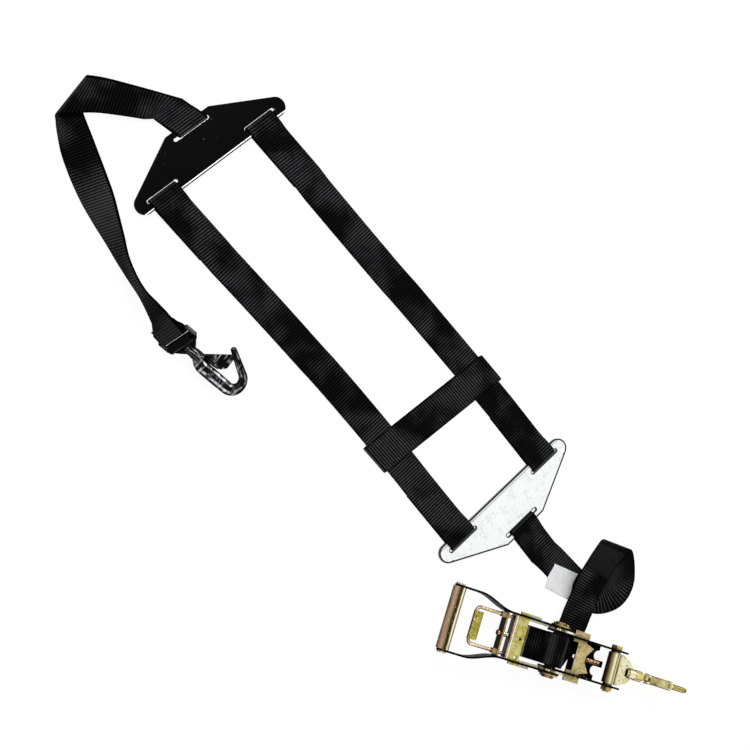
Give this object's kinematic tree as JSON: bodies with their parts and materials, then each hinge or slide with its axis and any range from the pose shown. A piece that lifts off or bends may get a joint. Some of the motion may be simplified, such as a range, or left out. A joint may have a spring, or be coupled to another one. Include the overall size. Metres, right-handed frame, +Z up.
{
  "type": "wheel tie-down strap with ratchet",
  "caption": "Webbing wheel tie-down with spreader plates at the ends of long straps, a lead strap and a wide-handle ratchet, both ending in swivel snap hooks.",
  "frame": {"origin": "middle of the bounding box in plan, on the floor that the set lies on", "axes": "+X along the long straps from the head plate to the ratchet, +Y across them, +Z up"},
  "size_m": [1.3167, 0.3835, 0.0768],
  "materials": {
    "webbing": "matte black polyester webbing with cross ribs",
    "patch": "smooth black sewn patch",
    "tag": "blank white label tape",
    "black_plate": "gloss black paint",
    "bright_plate": "bright scratched steel",
    "frame_paint": "black paint",
    "yellow_zinc": "yellow iridescent zinc",
    "brown_zinc": "brown iridescent zinc",
    "bright_steel": "bright steel",
    "dark_steel": "dark polished steel"
  },
  "bodies": {
    "set": {"head_plate": "black_plate", "foot_plate": "bright_plate", "left_long_strap": "webbing", "right_long_strap": "webbing", "lead_strap": "webbing", "ratchet_strap": "webbing", "strap_end": "webbing", "strap_patch": "patch", "label_tag": "tag", "ratchet_frame": "frame_paint", "anchor_bolt": "yellow_zinc", "anchor_nut": "yellow_zinc", "anchor_spacer": "bright_steel", "lead_link": "dark_steel", "locking_spring": "brown_zinc"},
    "cross": {"cross_strap": "webbing"},
    "drum": {"drum_half_front": "brown_zinc", "drum_half_rear": "brown_zinc", "ratchet_wheel_left": "bright_steel", "ratchet_wheel_right": "bright_steel", "drum_washers": "yellow_zinc", "drum_clips": "bright_steel", "drum_winding": "webbing"},
    "handle": {"handle_arm_left": "frame_paint", "handle_arm_right": "frame_paint", "cross_bar": "brown_zinc", "grip_tube": "yellow_zinc", "grip_rod": "bright_steel", "drive_spring": "bright_steel"},
    "release": {"drive_pawl": "yellow_zinc", "guide_pin": "brown_zinc", "release_pull": "brown_zinc", "finger_tab": "yellow_zinc", "pull_ferrules": "brown_zinc"},
    "lock": {"locking_pawl": "yellow_zinc"},
    "lead_swivel": {"lead_bracket": "dark_steel"},
    "lead_hook_body": {"lead_hook": "dark_steel", "lead_swivel_pin": "dark_steel", "lead_gate_pin": "dark_steel", "lead_gate_spring": "bright_steel"},
    "lead_latch": {"lead_gate": "dark_steel"},
    "anchor_swivel": {"anchor_bracket": "yellow_zinc"},
    "anchor_hook_body": {"anchor_hook": "yellow_zinc", "anchor_swivel_pin": "yellow_zinc", "anchor_gate_pin": "yellow_zinc", "anchor_gate_spring": "bright_steel"},
    "anchor_latch": {"anchor_gate": "yellow_zinc"}
  },
  "joints": [
    {"name": "cross_strap_slide", "type": "slide", "parent": "set", "child": "cross", "axis": [1, 0, 0], "range_m": [-0.12, 0.025]},
    {"name": "handle_swing", "type": "hinge", "parent": "set", "child": "handle", "pos_m": [0.4449, -0.0531, 0.03], "axis": [-0.4787, 0.878, 0], "range_deg": [0, 150]},
    {"name": "drum_turn", "type": "hinge", "parent": "set", "child": "drum", "pos_m": [0.4449, -0.0531, 0.03], "axis": [-0.4787, 0.878, 0], "continuous": true},
    {"name": "release_slide", "type": "slide", "parent": "handle", "child": "release", "axis": [-0.878, -0.4787, 0], "range_m": [0, 0.005], "stiffness_N_per_m": 600, "springref_m": -0.006, "deforming": ["drive_spring"]},
    {"name": "lock_slide", "type": "slide", "parent": "set", "child": "lock", "axis": [0.878, 0.4787, 0], "range_m": [0, 0.005], "stiffness_N_per_m": 600, "springref_m": -0.006, "deforming": ["locking_spring"]},
    {"name": "anchor_bracket_hinge", "type": "hinge", "parent": "set", "child": "anchor_swivel", "pos_m": [0.53884, -0.00188, 0.03], "axis": [0.4787, -0.878, 0], "range_deg": [-60, 15]},
    {"name": "anchor_hook_swivel", "type": "hinge", "parent": "anchor_swivel", "child": "anchor_hook_body", "pos_m": [0.58186, 0.02158, 0.03], "axis": [0.878, 0.4787, 0], "continuous": true},
    {"name": "anchor_gate_hinge", "type": "hinge", "parent": "anchor_hook_body", "child": "anchor_latch", "pos_m": [0.59302, 0.02765, 0.0376], "axis": [-0.4787, 0.878, 0], "range_deg": [0, 38], "stiffness_Nm_per_rad": 0.05, "springref_deg": -34.38},
    {"name": "lead_bracket_hinge", "type": "hinge", "parent": "set", "child": "lead_swivel", "pos_m": [-0.29442, -0.16761, 0.02536], "axis": [0.0322, 0.5881, 0.8082], "range_deg": [-35, 35]},
    {"name": "lead_hook_swivel", "type": "hinge", "parent": "lead_swivel", "child": "lead_hook_body", "pos_m": [-0.2643, -0.1623, 0.0203], "axis": [0.9716, 0.1713, -0.1633], "continuous": true},
    {"name": "lead_gate_hinge", "type": "hinge", "parent": "lead_hook_body", "child": "lead_latch", "pos_m": [-0.25328, -0.15264, 0.01823], "axis": [-0.1608, -0.0284, -0.9866], "range_deg": [0, 38], "stiffness_Nm_per_rad": 0.05, "springref_deg": -34.38}
  ]
}
